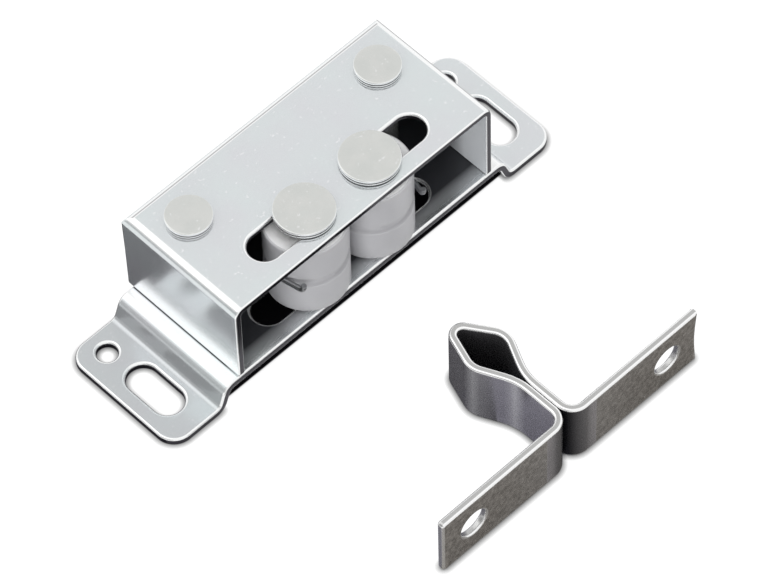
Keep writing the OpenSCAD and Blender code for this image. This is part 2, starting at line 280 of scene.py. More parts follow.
def put(tree, kind, inputs, **settings):
    """Adds a node with its settings. An input is a value, or the output that it is linked to."""
    node = tree.nodes.new(kind)
    for name, value in settings.items():
        setattr(node, name, value)
    for name, value in inputs.items():
        if isinstance(value, bpy.types.NodeSocket):
            tree.links.new(value, node.inputs[name])
        else:
            node.inputs[name].default_value = value
    return node


def blank_material(name):
    """A new material without nodes, and its node tree."""
    material = bpy.data.materials.new(name)
    material.use_nodes = True
    material.node_tree.nodes.clear()
    return material, material.node_tree


def ramp(tree, value, stops):
    """Ramp of colours over a value. A stop is a place and its linear colour, whose last part is how much
    it covers."""
    node = put(tree, "ShaderNodeValToRGB", {"Fac": value})
    while len(node.color_ramp.elements) < len(stops):
        node.color_ramp.elements.new(1.0)
    for element, (place, colour) in zip(node.color_ramp.elements, stops):
        element.position = place
        element.color = colour
    return node


def plated_steel(name, pale, tinted, metallic, rough, drift_mm, grain_mm, grain_depth_mm, speck, marks=()):
    """Electroplated sheet steel, rolled and then plated: a satin metal with a little milky scatter, whose
    tone drifts between two tints in clouds of drift_mm, with a fine grain and small bright specks. Each
    mark is an attribute of the piece, how metallic the steel is where it shows, and its stops of value,
    colour and cover."""
    material, tree = blank_material(name)
    place = put(tree, "ShaderNodeTexCoord", {}).outputs["Object"]
    drift = put(tree, "ShaderNodeTexNoise", {"Vector": place, "Scale": 1 / (drift_mm * MM), "Detail": 3.0})
    grain = put(tree, "ShaderNodeTexNoise", {"Vector": place, "Scale": 1 / (grain_mm * MM), "Detail": 2.0})
    dots = put(tree, "ShaderNodeTexNoise", {"Vector": place, "Scale": 1 / (SPECK_MM * MM), "Detail": 1.0})
    dots = put(tree, "ShaderNodeMapRange", {"Value": dots.outputs["Fac"], "From Min": 0.68, "From Max": 0.76})
    tone = put(tree, "ShaderNodeMapRange", {
        "Value": drift.outputs["Fac"], "From Min": 0.35, "From Max": 0.65})
    colour = put(tree, "ShaderNodeMix", {0: tone.outputs["Result"], 6: linear(pale), 7: linear(tinted)},
                 data_type="RGBA")
    amount = put(tree, "ShaderNodeMath", {0: dots.outputs["Result"], 1: speck}, operation="MULTIPLY")
    colour = put(tree, "ShaderNodeMix", {
        0: amount.outputs["Value"], 6: colour.outputs[2], 7: linear("#fbfbfd")}, data_type="RGBA")
    for mark, mark_metallic, stops in marks:
        value = put(tree, "ShaderNodeAttribute", {}, attribute_name=mark).outputs["Fac"]
        over = ramp(tree, value, [(place, (*linear(code)[:3], cover)) for place, code, cover in stops])
        colour = put(tree, "ShaderNodeMix", {
            0: over.outputs["Alpha"], 6: colour.outputs[2], 7: over.outputs["Color"]}, data_type="RGBA")
        metallic = put(tree, "ShaderNodeMix", {
            0: over.outputs["Alpha"], 2: metallic, 3: mark_metallic}).outputs[0]
    roughness = put(tree, "ShaderNodeMapRange", {
        "Value": grain.outputs["Fac"], "From Min": 0.3, "From Max": 0.7,
        "To Min": rough - 0.05, "To Max": rough + 0.07})
    bump = put(tree, "ShaderNodeBump", {"Height": grain.outputs["Fac"], "Distance": grain_depth_mm * MM,
                                        "Strength": 1.0})
    surface = put(tree, "ShaderNodeBsdfPrincipled", {
        "Base Color": colour.outputs[2], "Metallic": metallic, "Roughness": roughness.outputs["Result"],
        "Normal": bump.outputs["Normal"]})
    put(tree, "ShaderNodeOutputMaterial", {"Surface": surface.outputs["BSDF"]})
    return material


def piece(name, points, faces, material, slot, node, body=None, **marks):
    """Makes a mesh of points in millimetres, closes its seams and turns its faces outwards. It stands for
    a node of the frame and rides on a body, and each mark becomes an attribute of its points. The
    weighted normals keep flat faces flat up to their rounded rims."""
    mesh = bpy.data.meshes.new(name)
    mesh.from_pydata(points * MM, [], faces)
    for mark, values in marks.items():
        mesh.attributes.new(mark, "FLOAT", "POINT").data.foreach_set("value", values)
    shell = bmesh.new()
    shell.from_mesh(mesh)
    bmesh.ops.remove_doubles(shell, verts=shell.verts, dist=1e-6)
    bmesh.ops.recalc_face_normals(shell, faces=shell.faces)
    shell.to_mesh(mesh)
    shell.free()
    mesh.shade_smooth()
    mesh.materials.append(material)
    made = bpy.data.objects.new(name, mesh)
    bpy.context.collection.objects.link(made)
    made.modifiers.new("weighted_normals", "WEIGHTED_NORMAL").keep_sharp = True
    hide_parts(node)
    if body:
        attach(made, body)
    return made


step_mid = STEP_BEND + PLATE_T / 2
step_drop = 2 * step_mid * (1 - np.cos(np.radians(STEP_ANGLE)))
riser = (plate_lift - step_drop) / np.sin(np.radians(STEP_ANGLE))
step_run = 2 * step_mid * np.sin(np.radians(STEP_ANGLE)) + riser * np.cos(np.radians(STEP_ANGLE))
plate_steps = [
    (case_half + LEDGE_W, 0), bend(step_mid, -STEP_ANGLE), (riser, 0), bend(step_mid, STEP_ANGLE),
    (plate_high[0] - case_half - LEDGE_W - step_run, 0),
]
plate_half = sum(length for length, turn in plate_steps)
ear_shift = plate_half - plate_high[0]
hole_x = mounts["fixing_holes"]["dims"]["spacing_x_mm"] / 2 + ear_shift
hole_d = mounts["fixing_holes"]["dims"]["hole_r_mm"] * 2
slot_x, slot_y, _ = np.array(mounts["right_ear_slot"]["pos_m"]) / MM

plate_loops = [outline([
    (-plate_half, plate_low[1], EAR_CORNER), (plate_half, plate_low[1], EAR_CORNER),
    (plate_half, plate_high[1], EAR_CORNER), (-plate_half, plate_high[1], EAR_CORNER)])]
for side in (-1, 1):
    plate_loops += [
        opening(side * hole_x, 0, hole_d, hole_d),
        opening(side * (slot_x + ear_shift), slot_y, *EAR_SLOT),
        opening(side * (axle[0] + TRAVEL / 2), axle[1], TRAVEL + GUIDE_W, GUIDE_W),
        opening(side * post[0], post[1], SPIGOT_D, SPIGOT_D),
    ]
plate_lines = fold_lines(plate_steps)
plate_rims = [PLATE_RIM] + [HOLE_RIM] * (len(plate_loops) - 1)
shade_y = plate_low[1] + np.array(INSIDE_SHADE_IN)
ledge_lines = case_half + np.array(LEDGE_CUTS)
plate_cuts = [(0, np.concatenate((-plate_lines, plate_lines, -ledge_lines, ledge_lines))), (1, shade_y)]
flat, faces, wear = sheet(plate_loops, plate_rims, PLATE_T, plate_cuts)
across = fold(np.abs(flat[:, 0]), flat[:, 2], plate_steps)
out_from_case = np.abs(flat[:, 0]) - case_half
# Painted highlight band on the ledge bend.
wear = np.maximum(wear, painted_bend_sheen(out_from_case - LEDGE_W, step_mid, flat[:, 2], LEDGE_SHEEN))
# Painted shade inside the case, deepening from the open front inwards, and on the left riser and left ear.
painted_shade = np.where(out_from_case < TOUCH, np.interp(flat[:, 1], shade_y, (0, INSIDE_SHADE)), 0)
riser_from = LEDGE_W + plate_steps[1][0]
riser_to = riser_from + riser
shade_at = (riser_from - RISER_BLUR, riser_from, riser_to, riser_to + RISER_BLUR)
ear_shade = np.interp(out_from_case, shade_at, (0, RISER_SHADE, RISER_SHADE, EAR_SHADE))
painted_shade += np.where(flat[:, 0] < 0, ear_shade, 0)
# Painted highlights on rounded rims and bends, and painted dark lines on bends and rivet heads; sheared bands
# stay dark, as raw cut steel and as painted shade.
EDGE_SHEEN_AND_CUT = ("wear", 0.85, [
    (0.1, "#fcfdfd", 0), (0.4, "#fcfdfd", 1), (0.52, "#fcfdfd", 1), (0.7, "#35333a", 1)])
# Painted shade inside the case: dark and less metallic, with painted light, pale, on the end walls near the
# open front.
INSIDE = ("inside", 0.2, [
    (0.0, "#3b3c40", 0), (0.5, "#3b3c40", 1), (0.6, "#3b3c40", 1), (0.9, "#f2f6fa", 1)])
# Bright zinc on rolled sheet: a pale, cool satin that mirrors its surroundings softly.
zinc = plated_steel(
    "zinc_plated_steel", "#e3e9ea", "#e3e5e8", metallic=0.84, rough=0.2, drift_mm=9, grain_mm=0.28,
    grain_depth_mm=0.0007, speck=0.5, marks=[INSIDE, EDGE_SHEEN_AND_CUT])
piece("stepped_plate", np.column_stack((
    np.copysign(across[:, 0], flat[:, 0]), flat[:, 1], plate_lift + PLATE_T / 2 + across[:, 1])),
    faces, zinc, "zinc_plated_steel", "base_plate", "case", wear=wear, inside=painted_shade)

# Post rivets
# Two shouldered steel pins, turned, that space the cover from the base plate and carry the springs. Their
# ends are riveted over both plates, which leaves flat, slightly crowned heads with a soft rim.
POST_D = 5.2
POST_HEAD_D = 6.7
TAIL_D = 6.2
TAIL_T = 0.9
HEAD_RIM = 0.2
HEAD_CROWN = 0.08
RIM_LINE = 0.13
RIM_LINE_SHARE = 0.55
COVER_T = 1.0


def quarter(radius, height, rim, start, end, facets=5):
    """Profile points of a rounded rim: an arc of radius rim that ends at this outer radius and height,
    from one angle to the other in degrees, where 0 faces outwards and 90 faces up. Rows are radius,
    height and a painted mark, which is a painted highlight on the outward half."""
    angle = np.radians(np.linspace(start, end, facets + 1))
    up = np.sign(start + end)
    wear = np.where(np.cos(angle) > np.sqrt(0.5), 0.5, 0)
    return np.column_stack((
        radius - rim + rim * np.cos(angle), height - up * rim + rim * np.sin(angle), wear))


def head_profile(diameter, low, high):
    """Profile of a rivet head from its foot to the middle of its crown, as radius, height and painted mark.
    A fine notch runs round the rim, painted dark, the rounded rims carry a painted highlight and the
    foot a painted dark contact line."""
    radius = diameter / 2
    rim_high = high - HEAD_CROWN
    line = low + RIM_LINE_SHARE * (rim_high - HEAD_RIM - low)
    return np.vstack((
        [(radius - RIM_LINE, low, 1), (radius, low + RIM_LINE, 0.5), (radius, line - RIM_LINE, 0.5),
         (radius - RIM_LINE, line, 1), (radius, line + RIM_LINE, 0.5)],
        quarter(radius, rim_high, HEAD_RIM, 0, 90),
        [(radius / 2, high - HEAD_CROWN / 4, 0), (0, high, 0)]))


def turned(profile, x, y, sides=72):
    """Surface of a profile of radius, height and painted mark turned round an upright axis at x, y, as
    points, faces and each point's painted mark."""
    angle = np.arange(sides) / sides * 2 * np.pi
    radius, height, wear = np.asarray(profile, float).T
    grid = np.stack((
        x + radius * np.cos(angle)[:, None], y + radius * np.sin(angle)[:, None],
        np.broadcast_to(height, (sides, len(height)))), -1)
    index = np.arange(grid[..., 0].size).reshape(grid.shape[:2])
    beside = np.roll(index, -1, 0)
    faces = np.stack((index[:, :-1], beside[:, :-1], beside[:, 1:], index[:, 1:]), -1).reshape(-1, 4)
    return grid.reshape(-1, 3), faces.tolist(), np.tile(wear, sides)


# Zinc on headed wire: a little warmer and more even than on the sheet.
rivet_steel = plated_steel(
    "plated_rivet_steel", "#dadcd9", "#dfe0dd", metallic=0.86, rough=0.2, drift_mm=3, grain_mm=0.25,
    grain_depth_mm=0.0003, speck=0.4, marks=[EDGE_SHEEN_AND_CUT])
cover_top = cover_high[2]
cover_under = cover_top - COVER_T
tail = head_profile(TAIL_D, -plate_lift, TAIL_T - plate_lift) * (1, -1, 1)
post_profile = np.vstack((
    tail[::-1],
    [(SPIGOT_D / 2, plate_lift, 0), (SPIGOT_D / 2, plate_high[2], 0), (POST_D / 2, plate_high[2], 0),
     (POST_D / 2, cover_under, 0), (SPIGOT_D / 2, cover_under, 0), (SPIGOT_D / 2, cover_top, 0)],
    head_profile(POST_HEAD_D, cover_top, post_high[2])))
for side, name in ((-1, "left"), (1, "right")):
    points, faces, wear = turned(post_profile, side * post[0], post[1])
    piece(f"{name}_post_pin", points, faces, rivet_steel, "rivet_steel", f"{name}_post_rivet", "case",
          wear=wear)

# Springs
# Two torsion springs of plain drawn steel wire, coiled on the posts. One leg bears on the end wall and
# the other runs in the roller's groove and ends in a short upturned tip, so it follows the roller as it
# slides.
WIRE_D = 0.8
COIL_CLEAR = 0.2
COIL_TURNS = 3
WIRE_SEAT = 0.1
GROOVE_DEPTH = 0.4
LEG_END = 3.2
LEG_RISE = 1.2
REST_TURN = 14
WIRE_SIDES = 12
TURN_STEPS = 40
COIL_PITCH = 1.1
WALL_T = COVER_T

roller_d = roller_high[0] - roller_low[0]
groove_z = axle[2]
coil_r = POST_D / 2 + COIL_CLEAR + WIRE_D / 2
leg_off = roller_d / 2 - GROOVE_DEPTH + WIRE_D / 2 + WIRE_SEAT
reach = np.array((post[0] - axle[0], axle[1] - post[1]))
spread = np.arccos((leg_off + coil_r) / np.hypot(*reach))
leg_turn = spread + np.arctan2(reach[1], reach[0])
leg_l = np.hypot(*reach) * np.sin(spread) + LEG_END
wall_off = case_half - WALL_T - WIRE_D / 2 - WIRE_SEAT - post[0]
rest_turn = np.radians(REST_TURN)
rest_l = (wall_off - coil_r * np.cos(rest_turn)) / np.sin(rest_turn)


def spring_path():
    """Middle line of the left spring's wire, measured from its post: a straight leg along a tangent of
    the coil, a helix that sinks by little more than the wire a turn, a leg along another tangent and its
    upturned tip."""
    first = np.pi - rest_turn
    angle = np.linspace(first, leg_turn - 2 * np.pi * COIL_TURNS, TURN_STEPS * COIL_TURNS)
    rise = WIRE_D * COIL_PITCH * (angle - angle[-1]) / (2 * np.pi)
    coil = np.column_stack((coil_r * np.cos(angle), coil_r * np.sin(angle), rise))
    rest_way = np.array((np.sin(first), -np.cos(first), 0))
    leg_way = np.array((np.sin(leg_turn), -np.cos(leg_turn), 0))
    rest = coil[0] - np.linspace(rest_l, 0, 6)[:-1, None] * rest_way
    leg = coil[-1] + np.linspace(0, leg_l, 12)[1:, None] * leg_way
    bent = np.linspace(0, 1, 5)[1:, None]
    tip = leg[-1] + LEG_RISE * (bent * leg_way * (1 - bent / 2) + bent ** 2 * np.array((0, 0, 1)))
    return np.vstack((rest, coil, leg, tip))


def wire(path, diameter):
    """Round wire along a path that stays close to level: a ring square to the path at each of its points,
    and rings that shrink to the middle at both ends, as points and faces."""
    along = np.gradient(path, axis=0)
    along /= np.linalg.norm(along, axis=1)[:, None]
    out = np.cross(along, (0, 0, 1))
    out /= np.linalg.norm(out, axis=1)[:, None]
    up = np.cross(out, along)
    radius = np.full(len(path), diameter / 2)
    ends = [0] * 2 + list(range(len(path))) + [len(path) - 1] * 2
    path, out, up, radius = path[ends], out[ends], up[ends], radius[ends]
    radius[[0, -1]] = 0
    radius[[1, -2]] *= 0.8
    angle = np.arange(WIRE_SIDES) / WIRE_SIDES * 2 * np.pi
    ring = np.cos(angle)[:, None] * out[:, None] + np.sin(angle)[:, None] * up[:, None]
    points = path[:, None] + radius[:, None, None] * ring
    index = np.arange(points[..., 0].size).reshape(points.shape[:2])
    beside = np.roll(index, -1, 1)
    faces = np.stack((index[:-1], beside[:-1], beside[1:], index[1:]), -1).reshape(-1, 4)
    return points.reshape(-1, 3), faces.tolist()


# Plain drawn wire: a darker grey, dull from the die.
spring_steel = plated_steel(
    "drawn_spring_wire", "#8a8c8f", "#98999b", metallic=0.9, rough=0.32, drift_mm=9, grain_mm=0.2,
    grain_depth_mm=0.001, speck=0.1)
left_post = np.array((-post[0], post[1], groove_z))
for side, name in ((1, "left"), (-1, "right")):
    path = (spring_path() + left_post) * (side, 1, 1)
    points, faces = wire(path, WIRE_D)
    spring = piece(f"{name}_torsion_spring", points, faces, spring_steel, "spring_steel", f"{name}_spring")
    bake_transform(spring)

# Rollers
# Two sleeves of natural nylon, moulded milky and slightly translucent, that turn on the axle pins. A
# shallow groove at mid height takes the spring's leg, and the ends have a small radius.
AXLE_D = 4.6
GROOVE_W = 2
ROLLER_EDGE = 0.3
BORE_CLEAR = 0.05
ROLLER_SIDES = 96
CLOUD_MM = 5
SKIN_MM = 0.5
SKIN_DEPTH_MM = 0.004
SCATTER_MM = 3

# Milky nylon: light sinks in and blurs the shading, under a smooth moulded skin.
nylon, tree = blank_material("moulded_nylon")
place = put(tree, "ShaderNodeTexCoord", {}).outputs["Object"]
cloud = put(tree, "ShaderNodeTexNoise", {"Vector": place, "Scale": 1 / (CLOUD_MM * MM), "Detail": 2.0})
milk = put(tree, "ShaderNodeMix", {0: cloud.outputs["Fac"], 6: linear("#b8b8bb"), 7: linear("#c3c3c6")},
           data_type="RGBA")
# Painted light: the end faces are painted much paler than the sides.
end = put(tree, "ShaderNodeAttribute", {}, attribute_name="end")
milk = put(tree, "ShaderNodeMix", {0: end.outputs["Fac"], 6: milk.outputs[2], 7: linear("#f6f6f8")},
           data_type="RGBA")
skin = put(tree, "ShaderNodeTexNoise", {"Vector": place, "Scale": 1 / (SKIN_MM * MM), "Detail": 2.0})
bump = put(tree, "ShaderNodeBump", {
    "Height": skin.outputs["Fac"], "Distance": SKIN_DEPTH_MM * MM, "Strength": 1.0})
surface = put(tree, "ShaderNodeBsdfPrincipled", {
    "Base Color": milk.outputs[2], "Roughness": 0.38, "IOR": 1.53, "Subsurface Weight": 0.85,
    "Subsurface Radius": (SCATTER_MM * MM,) * 3, "Subsurface Scale": 1.0, "Normal": bump.outputs["Normal"]})
put(tree, "ShaderNodeOutputMaterial", {"Surface": surface.outputs["BSDF"]})

roller_r = roller_d / 2
bore_r = AXLE_D / 2 + BORE_CLEAR
groove_floor = GROOVE_W - GROOVE_DEPTH
roller_profile = np.vstack((
    [(bore_r, roller_low[2], 0)], quarter(roller_r, roller_low[2], ROLLER_EDGE, -90, 0),
    [(roller_r, groove_z - GROOVE_W / 2, 0), (roller_r - GROOVE_DEPTH, groove_z - groove_floor / 2, 0),
     (roller_r - GROOVE_DEPTH, groove_z + groove_floor / 2, 0), (roller_r, groove_z + GROOVE_W / 2, 0)],
    quarter(roller_r, roller_high[2], ROLLER_EDGE, 0, 90),
    [(bore_r, roller_high[2], 0), (bore_r, roller_low[2], 0)]))
for side, name in ((-1, "left"), (1, "right")):
    points, faces, wear = turned(roller_profile, side * axle[0], axle[1], ROLLER_SIDES)
    # The end faces, which are painted paler.
    end = (points[:, 2] > roller_high[2] - TOUCH) | (points[:, 2] < roller_low[2] + TOUCH)
    piece(f"{name}_nylon_sleeve", points, faces, nylon, "nylon", f"{name}_roller", f"{name}_roller",
          end=end.astype(float))

# Cover
# One sheet of zinc-plated steel folded down at both ends and at the back, open at the front. Its back
# corners are pressed round, and below them the back wall stops inside the end walls. Two guide slots take
# the axle pins.
COVER_BEND = 0.5
SEAM_LOW = 0.3
SEAM_PLAY = 0.05
FOOT_GAP = 0.08
COVER_RIM = (0.28, 0.12)
# Painted highlight bands on the cover's bends, with painted dark lines between them on the right and back
# bends.
LEFT_BEND_SHEEN = [(3, 0), (12, 0.5), (40, 0.5), (50, 0)]
RIGHT_BEND_SHEEN = [(7.5, 0), (15, 0.5), (30, 0.5), (37.5, 0.52), (45, 0.64), (60, 0.67), (75, 0)]
BACK_BEND_SHEEN = [
    (0, 0), (7.5, 0.5), (15, 0.63), (22.5, 0.5), (30, 0.5), (37.5, 0), (45, 0), (52.5, 0.6), (60, 0.5),
    (75, 0),
]
PALE_IN = (3, 9)
FRONT_CORNER = 0.4
BACK_CORNER = 0.3
SQUARED = 0.6

cover_mid = COVER_BEND + COVER_T / 2
outer_r = COVER_BEND + COVER_T
flat_x = case_half - outer_r
flat_y = cover_high[1] - outer_r
front_y = cover_low[1]
back_y = cover_high[1]
cover_foot = plate_high[2] + FOOT_GAP
end_wall = cover_top - outer_r - cover_foot
back_wall = cover_top - outer_r - cover_low[2]
end_steps = [(flat_x, 0), bend(cover_mid, -90), (end_wall, 0)]
back_steps = [(flat_y - front_y, 0), bend(cover_mid, -90), (back_wall, 0)]
fold_l = cover_mid * np.pi / 2
corner_x = flat_x + fold_l
corner_y = flat_y + fold_l
end_x = corner_x + end_wall
back_end = corner_y + back_wall


def mitred(over, beside, height, end):
    """How far a point of the blank's corner comes to lie beside the flat top, given how far it lies over
    a bend and beside it, so that the two bends meet in a mitre. There a point's share of the way to the
    mitre stays the same, and below the bend the sheet turns square and stops this far beside the flat
    top."""
    angle = np.clip(over / cover_mid, 1e-6, np.pi / 2)
    share = (cover_mid + height) * np.sin(angle) / (cover_mid * angle)
    square = np.clip((over - fold_l) / SQUARED, 0, 1)
    share += square * (end / fold_l - share)
    return np.where(beside > 0, beside * share, beside)


half_blank = [
    (end_x, front_y, FRONT_CORNER), (end_x, corner_y - SEAM_LOW, BACK_CORNER),
    (corner_x, corner_y, 0), (corner_x, back_end, BACK_CORNER),
]
mirrored = [(-x, y, radius) for x, y, radius in half_blank[::-1]]
cover_loops = [outline(half_blank + mirrored)]
for side in (-1, 1):
    cover_loops += [
        opening(side * (axle[0] + TRAVEL / 2), axle[1], TRAVEL + GUIDE_W, GUIDE_W),
        opening(side * post[0], post[1], SPIGOT_D, SPIGOT_D),
    ]
cover_rims = [COVER_RIM] + [HOLE_RIM] * (len(cover_loops) - 1)
end_lines = fold_lines(end_steps)
back_lines = fold_lines(back_steps) + front_y
mitres = [[(side * flat_x, flat_y), (side * corner_x, corner_y)] for side in (-1, 1)]
cover_cuts = [(0, np.append(-end_lines, end_lines)), (1, np.append(back_lines, front_y + np.array(PALE_IN)))]
flat, faces, wear = sheet(cover_loops, cover_rims, COVER_T, cover_cuts, mitres)
x_over = np.abs(flat[:, 0]) - flat_x
y_over = flat[:, 1] - flat_y
over_end = fold(np.abs(flat[:, 0]), flat[:, 2], end_steps)
over_back = fold(flat[:, 1] - front_y, flat[:, 2], back_steps)
end_points = np.column_stack((
    over_end[:, 0], flat_y + mitred(x_over, y_over, flat[:, 2], outer_r), over_end[:, 1]))
back_points = np.column_stack((
    flat_x + mitred(y_over, x_over, flat[:, 2], COVER_BEND - SEAM_PLAY),
    front_y + over_back[:, 0], over_back[:, 1]))
on_back = y_over > np.maximum(x_over, 0)
points = np.where(on_back[:, None], back_points, end_points)
points[:, 0] = np.copysign(points[:, 0], flat[:, 0])
points[:, 2] += cover_top - COVER_T / 2
# Painted highlight bands and painted dark lines on the cover's bends.
end_wear = np.where(flat[:, 0] < 0, painted_bend_sheen(x_over, cover_mid, flat[:, 2], LEFT_BEND_SHEEN),
                    painted_bend_sheen(x_over, cover_mid, flat[:, 2], RIGHT_BEND_SHEEN))
wear = np.maximum(wear, np.where(on_back, painted_bend_sheen(y_over, cover_mid, flat[:, 2], BACK_BEND_SHEEN), end_wear))
# Painted light on the end walls' inner faces near the open front, over painted shade on the whole inner side.
pale = np.interp(x_over, (fold_l / 2, fold_l), (0, 0.5)) * np.interp(flat[:, 1] - front_y, PALE_IN, (1, 0.2))
inside = np.where(flat[:, 2] < 0, INSIDE_SHADE + pale, 0)
piece("folded_cover", points, faces, zinc, "zinc_plated_steel", "cover", "case", wear=wear, inside=inside)

# Axle pins and washers
# Turned steel pins with broad flat heads that slide along the guide slots and carry the rollers. Each is
# closed over a plain washer under the base plate.
AXLE_HEAD_D = 8.7
HEAD_T = 1.1
SLIDE_PLAY = 0.1
WASHER_D = 8
WASHER_T = 0.8
WASHER_RIM = 0.15

head_low = cover_top + SLIDE_PLAY
washer_high = plate_lift - SLIDE_PLAY
washer_low = washer_high - WASHER_T
tail = head_profile(TAIL_D, -washer_low, TAIL_T - washer_low) * (1, -1, 1)
axle_profile = np.vstack((
    tail[::-1], [(AXLE_D / 2, washer_low, 0), (AXLE_D / 2, head_low, 0)],
    head_profile(AXLE_HEAD_D, head_low, head_low + HEAD_T)))
washer_profile = np.vstack((
    [(bore_r, washer_low, 0)], quarter(WASHER_D / 2, washer_low, WASHER_RIM, -90, 0),
    quarter(WASHER_D / 2, washer_high, WASHER_RIM, 0, 90),
    [(bore_r, washer_high, 0), (bore_r, washer_low, 0)]))
turned_pieces = (("headed_pin", axle_profile, "axle_pin"), ("plain_washer", washer_profile, "axle_washer"))
for side, name in ((-1, "left"), (1, "right")):
    for made, profile, node in turned_pieces:
        points, faces, wear = turned(profile, side * axle[0], axle[1])
        piece(f"{name}_{made}", points, faces, rivet_steel, "rivet_steel", f"{name}_{node}", f"{name}_axle",
              wear=wear)

# Strike
# One strip of nickel-plated steel, folded on itself into a spear nose, a closed neck and two arms with a
# screw hole each. Its faces are worn and speckled, with painted highlight bands on the shoulder and neck
# bends and painted shade inside the nose and on the arm bends, and its sheared edges carry a painted
# highlight.
STRIKE_T = 1.2
NOSE_R = 2
NOSE_ANGLE = 26
NOSE_LEAN = 8
FLANK_L = 3.9
SHOULDER_R = 3.75
NECK_ANGLE = 26
NECK_R = 8
NECK_GAP = 0.06
NECK_L = 4.6
ARM_BEND = 1.65
ARM_CORNER = 0.6
SHEAR_HOLLOW = 0.45
SHEAR_R = 25
SHEAR_CORNER = 0.2
ARM_FINISH = 1.8
STRIKE_RIM = (0.42, 0.42)
SCREW_RIM = (0.35, 0.35)
SHOULDER_BACK = 0.7
# Painted highlight bands at the shoulder and neck, and painted shade inside the nose and on the arm's bend.
SHOULDER_SHEEN = [(-2, 0.4), (0, 0.9), (1.5, 0.5)]
NECK_SHEEN = [(-1.5, 0.5), (0, 0.95), (2, 0.5)]
NOSE_SHADE = 0.07
ARM_BEND_SHADE = [(-2, 0), (0.8, 0.2), (1.8, 0.6), (2.6, 0.5)]

strike_low, strike_high = np.array(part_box("strike")) / MM
strike_w = strike_high[2] - strike_low[2]
mid = STRIKE_T / 2
tip_mid = NOSE_R - mid
shoulder_mid = SHOULDER_R - mid
neck_mid = NECK_R + mid
arm_mid = ARM_BEND + mid
neck_x = mid + NECK_GAP / 2


def nose_half(angle):
    """How far the middle line of the nose reaches to the side, and how far back, from its tip to where a
    flank at this angle has turned into the taper."""
    nose, neck = np.radians((angle, NECK_ANGLE))
    return np.array((
        tip_mid * np.cos(nose) + FLANK_L * np.sin(nose) + shoulder_mid * (np.cos(neck) - np.cos(nose)),
        tip_mid * (1 - np.sin(nose)) + FLANK_L * np.cos(nose) + shoulder_mid * (np.sin(nose) + np.sin(neck))))


def strike_steps(angle):
    """Steps of one side of the strike, from the tip of its nose to the end of its arm."""
    return [
        bend(tip_mid, angle - 90), (FLANK_L, 0), bend(shoulder_mid, -angle - NECK_ANGLE), (taper_l, 0),
        bend(neck_mid, NECK_ANGLE), (NECK_L + nose_half(NOSE_ANGLE)[1] - nose_half(angle)[1], 0),
        bend(arm_mid, 90), (strike_high[0] - neck_x - arm_mid, 0),
    ]


left_x = nose_half(NOSE_ANGLE - NOSE_LEAN)[0]
right_x = nose_half(NOSE_ANGLE + NOSE_LEAN)[0]
tip_x = (left_x - right_x) / 2
neck_turn = np.radians(NECK_ANGLE)
taper_l = ((left_x + right_x) / 2 - neck_x - neck_mid * (1 - np.cos(neck_turn))) / np.sin(neck_turn)
left_steps = strike_steps(NOSE_ANGLE - NOSE_LEAN)
right_steps = strike_steps(NOSE_ANGLE + NOSE_LEAN)
left_l = sum(length for length, turn in left_steps)
right_l = sum(length for length, turn in right_steps)
screw = mounts["strike_holes"]["dims"]
screw_in = strike_high[0] - screw["spacing_x_mm"] / 2
screw_d = screw["hole_r_mm"] * 2
strike_loops = [
    outline([
        (-left_l, 0, ARM_CORNER), (right_l, 0, SHEAR_CORNER), (right_l - SHEAR_HOLLOW, strike_w / 2, SHEAR_R),
        (right_l, strike_w, SHEAR_CORNER), (-left_l, strike_w, ARM_CORNER)]),
    opening(screw_in - left_l, strike_w / 2, screw_d, screw_d),
    opening(right_l - screw_in, strike_w / 2, screw_d, screw_d),
]
strike_rims = [STRIKE_RIM, SCREW_RIM, SCREW_RIM]
arm_from = np.array((-1, 1)) * (ARM_FINISH + np.array([
    sum(length for length, turn in steps[:-1]) for steps in (left_steps, right_steps)]))
strike_lines = np.concatenate((-fold_lines(left_steps), fold_lines(right_steps), arm_from))
flat, faces, wear = sheet(strike_loops, strike_rims, STRIKE_T, [(0, strike_lines)])
on_left = flat[:, 0] < 0
across = np.where(on_left[:, None], fold(-flat[:, 0], flat[:, 2], left_steps) * (-1, 1),
                  fold(flat[:, 0], flat[:, 2], right_steps))


def painted_strike_light(along, height, steps):
    """How the plate is toned along one side: 0.5 is plain, 1 a painted highlight band at the shoulder and
    at the neck, and 0 painted shade inside the nose and on the arm's bend."""
    ends = np.cumsum([length for length, turn in steps])
    shoulder = ends[2] - SHOULDER_BACK
    neck = (ends[3] + ends[4]) / 2
    outer = [(shoulder + at, tone) for at, tone in SHOULDER_SHEEN]
    outer += [(neck + at, tone) for at, tone in NECK_SHEEN]
    inner = [(ends[4], NOSE_SHADE), (ends[5], 0)] + [(ends[6] + at, tone) for at, tone in ARM_BEND_SHADE]
    return np.where(
        height > 0, np.interp(along, *np.transpose(outer)), np.interp(along, *np.transpose(inner)))


# Painted shade where the mark is low and a painted highlight where it is high.
STRIKE_SHEEN_AND_SHADE = ("tone", 0.7, [
    (0, "#2a2a2f", 1), (0.5, "#8d8b88", 0), (0.52, "#fafafc", 0), (1, "#fafafc", 0.9)])
# Painted highlight on the sheared edges' rounds, with a pale grey sheared band between them.
STRIKE_EDGE_SHEEN = ("wear", 0.95, [
    (0.1, "#fefefe", 0), (0.4, "#fefefe", 1), (0.6, "#fefefe", 1), (0.85, "#c4c4c3", 1)])
# Nickel worn by handling: a warm, mottled grey on the arms.
worn = plated_steel(
    "worn_nickel_plate", "#a39f9b", "#cdc9c5", metallic=0.88, rough=0.26, drift_mm=0.8, grain_mm=0.4,
    grain_depth_mm=0.002, speck=0.4, marks=[STRIKE_SHEEN_AND_SHADE, STRIKE_EDGE_SHEEN])
